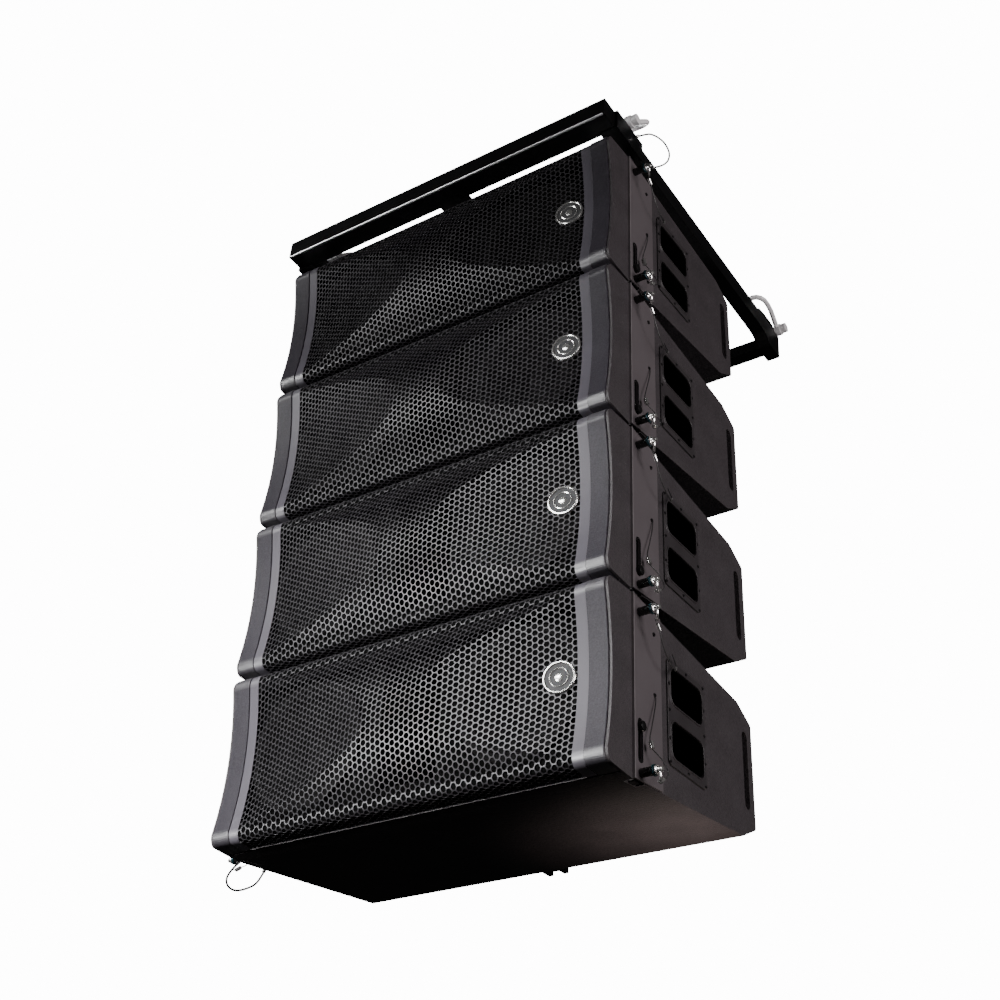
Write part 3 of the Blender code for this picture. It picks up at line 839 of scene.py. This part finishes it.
def rigging_meshes():
    """The right-hand pieces that every cabinet's side repeats, except its wires."""
    hang = ring_mesh(9.0, 1.6)
    hang.transform(Matrix.Rotation(math.radians(28), 4, "Z"))
    x0, x1, low, top = 323.6, 337, -138.4, -120  # the pocket below the low pin
    return {
        "rod": turned(PIN_ROD, 32),
        "hub": turned(PIN_HUB, 32),
        "button": turned(PIN_BUTTON, 32),
        "ring": moved(hang, 31.5, 0, -9.5),
        "knob_cap": turned([(6.9, -3.2), (7.7, -2.6), (7.7, -1.4), (6.6, 0.4), (4.2, 1.3), (0, 1.6)], 32),
        "slot_bezel": cut(prism(rounded(*SLOT_BEZEL, 6.3), PLATE_OUT - 0.2, PLATE_OUT + 0.5),
                          prism(rounded(*SLOT_ROOM, 3.9), PLATE_OUT - 3, PLATE_OUT + 3)),
        "pocket_edge": add(
            prism([(64.6, -138.5), (95.4, -135.5), (95.4, top), (64.6, top)], x0, x0 + 1.5),
            block(x0, x1, 64.6, 66.0, low, top),
            block(x0, x1, 94.0, 95.4, -135.6, top),
        ),
        "plate_screw": screw_mesh(),
        "handle_screw": screw_mesh(2.6, 1.2),
        # a painted highlight: a pale strip down the rigging plate's front edge
        "plate_edge": block(337.6, 341.2, 63.6, 65.4, -136.8, 136.8),
    }


def add_pins(meshes, side, hand, k, at):
    """The top pin, which slides out on its own body, and the low pin, in three finishes each."""
    finishes = {"rod": "knob", "hub": "teal", "button": "bright", "ring": "bright"}
    for z, level, body in ((TOP_PIN_Z, "top", f"lock_pin_{hand}_{k}"), (LOW_PIN_Z, "low", f"cabinet_{k}")):
        here = at + Vector((side * HALF_W, PIN_Y, z)) * MM
        for part, finish in finishes.items():
            if part == "ring" and level == "low" and side < 0:
                continue
            name, mesh = f"pin_{part}_{level}_{hand}_{k}", for_side(meshes[part], side)
            piece = add_piece(name, mesh, MAT[finish], body, here, True)
            if level == "top" and part == "rod":
                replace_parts(piece, f"lock_pin_{hand}_{k}")


def build_rigging():
    """On both sides of each cabinet: lock pins and their wires, link details and screws."""
    meshes = rigging_meshes()
    for k, at in ORIGIN.items():
        body = f"cabinet_{k}"
        for side, hand in SIDES:
            add_pins(meshes, side, hand, k, at)
            hang_wire(f"pin_wire_top_{hand}_{k}", TOP_WIRE, side, body, at, [(1, 2.7), (6, 2.0)])
            hang_wire(f"pin_wire_low_{hand}_{k}", LOW_WIRE, side, body, at, [(1, 3.0), (6, 3.6)])
            low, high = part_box(f"link_{hand}_{k}")
            knob = Vector(((high if side > 0 else low).x, at.y + PIN_Y * MM, high.z - KNOB_DROP * MM))
            for part, finish, where, smooth, slot in (
                # the plate's front edge strip is a painted highlight
                ("plate_edge", "rim", at, False, "rigging_plate"),
                ("knob_cap", "knob", knob, True, "link_steel"),
                ("slot_bezel", "knob", at, False, "rigging_plate"),
                ("pocket_edge", "rim", at, False, "rigging_plate"),
            ):
                mesh = for_side(meshes[part], side)
                add_piece(f"{part}_{hand}_{k}", mesh, MAT[finish], body, where, smooth)
            for part, places, out in (("plate_screw", PLATE_SCREWS, PLATE_OUT),
                                      ("handle_screw", screw_places(), HALF_W + HANDLE_PROUD)):
                for n, (y, z) in enumerate(places):
                    spot = at + Vector((side * out, y, z)) * MM
                    mesh = for_side(meshes[part], side)
                    add_piece(f"{part}_{hand}_{k}_{n}", mesh, MAT["steel_black"], body, spot, True)


def build_handles():
    plate, tray = handle_mesh(), handle_lining()
    for k, at in ORIGIN.items():
        for side, hand in SIDES:
            name, body = f"handle_{hand}_{k}", f"cabinet_{k}"
            bevel(add_piece(name, for_side(plate, side), MAT["handle"], body, at), 0.7, 2)
            add_piece(f"handle_tray_{hand}_{k}", for_side(tray, side), MAT["board"], body, at)


def build_rear_panels():
    """The recessed connector plate: two pairs of round sockets with collars, and its screws."""
    face = 430.5
    plate = moved(block(97, 223, -1.5, 0, -43, 43), 0, face)
    holes = [moved(turned([(11.5, -6), (11.5, 6)], 32, "Y"), x, face, z) for x, z in SOCKETS]
    plate = cut(plate, *holes)
    collar = turned([(14.5, 0.5), (14.5, 1.6), (13.6, 2.2), (12.2, 2.2), (11.4, 1.4), (11.4, -7),
                     (4.5, -7), (4.5, -2.5), (0, -2.5)], 40, "Y")
    screw = turned([(2.6, -0.5), (2.6, 0.6), (1.9, 1.2), (0, 1.3)], 16, "Y")
    for k, at in ORIGIN.items():
        body = f"cabinet_{k}"
        add_piece(f"rear_plate_{k}", plate, MAT["steel_black"], body, at)
        for n, (x, z) in enumerate(SOCKETS):
            spot = at + Vector((x, face, z)) * MM
            add_piece(f"rear_socket_{k}_{n}", collar, MAT["knob"], body, spot, True)
            for m, way in enumerate((1, -1)):
                spot = at + Vector((x + 15 * way, face, z + 11 * way)) * MM
                add_piece(f"rear_screw_{k}_{n}_{m}", screw, MAT["bright"], body, spot, True)


def build_badges():
    """A plain round badge on each grille: a chrome rim, a dark field and a domed middle."""
    rim = turned([(24, 3.5), (24, 0.3), (23, -0.7), (21.6, -0.9), (20.6, -0.1), (20.4, 1.4),
                  (0, 2.2)], 64, "Y")
    field = turned([(20.6, 2.6), (20.6, 0.9), (0, 0.7)], 64, "Y")
    ring = turned([(14.6, 1.8), (14.4, 0.2), (13.4, -0.4), (12.4, 0.2), (12.2, 1.8)], 64, "Y")
    dome = turned([(6.5, 1.8), (6.1, 0.2), (4, -0.6), (0, -0.9)], 48, "Y")
    middle = sheet_point(BADGE_X, 0)
    across = sheet_point(BADGE_X + 2, 0) - sheet_point(BADGE_X - 2, 0)
    up = sheet_point(BADGE_X, 10) - sheet_point(BADGE_X, -10)
    out = across.cross(up).normalized()
    turn = Matrix((across.normalized(), -out, up.normalized())).transposed().to_4x4()
    for k, at in ORIGIN.items():
        spot = at + (middle + out * 2.4) * MM
        for mesh, finish, part in ((rim, "bright", "rim"), (field, "badge", "field"),
                                   (ring, "bright", "ring"), (dome, "bright", "dome")):
            made = mesh.copy()
            made.transform(turn)
            add_piece(f"badge_{part}_{k}", made, MAT[finish], f"cabinet_{k}", spot, True)


def lining_mesh():
    """Black foam behind the rounded top and bottom of a grille."""
    parts = []
    for up in (1, -1):
        rings = []
        for i in range(13):
            s = up * (LIP_Z - 14 + (GRILLE_REACH - LIP_Z + 12) * i / 12)
            ring = []
            for x, depth in ((-296, 1.3), (296, 1.3), (296, 4.5), (-296, 4.5)):
                here = sheet_point(FIELD_HALF + 1, s) - outward(0, s) * depth
                ring.append((x, here.y, here.z))
            rings.append(ring)
        parts.append(stack(rings, "lining"))
    return joined(parts, "lining")


def build_cabinets():
    shell = enclosure_mesh()
    board = baffle_mesh()
    lining = lining_mesh()
    cheeks = [cheek_mesh(s) for s in (1, -1)]
    for k, at in ORIGIN.items():
        body = f"cabinet_{k}"
        piece = add_piece(f"shell_{k}", shell, MAT["coating"], body, at)
        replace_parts(bevel(piece, 1.6, 3), f"enclosure_{k}")
        piece = add_piece(f"board_{k}", board, MAT["board"], body, at)
        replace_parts(piece, f"baffle_{k}")
        add_piece(f"grille_lining_{k}", lining, MAT["board"], body, at)
        for mesh, (_, hand) in zip(cheeks, SIDES):
            name = f"cheek_{hand}_{k}"
            bevel(add_piece(name, mesh, MAT["cheek"], body, at), 1.4, 3)


def dress_nodes():
    """Gives each CAD node that stays its finish and softened edges."""
    finishes = {
        "woofer": ("cone", 0.4), "side_plate": ("plate", 0.5), "link": ("steel_black", 0.5),
        "rear_channel": ("steel_black", 0.8), "rear_arm": ("steel_black", 0.8),
        "flying_frame": ("frame", 1.6), "shackle": ("galvanised", 0.0),
    }
    for name, obj in NODES.items():
        for start, (finish, width) in finishes.items():
            if name.startswith(start):
                obj.data.materials.clear()
                obj.data.materials.append(MAT[finish])
                if width:
                    bevel(obj, width, 2, 40)


build_camera()
build_floor()
build_world()
build_lights()
dress_nodes()
build_cabinets()
build_grilles()
build_badges()
build_handles()
build_rigging()
build_lanyards()
build_frame_edge()
build_rear_panels()
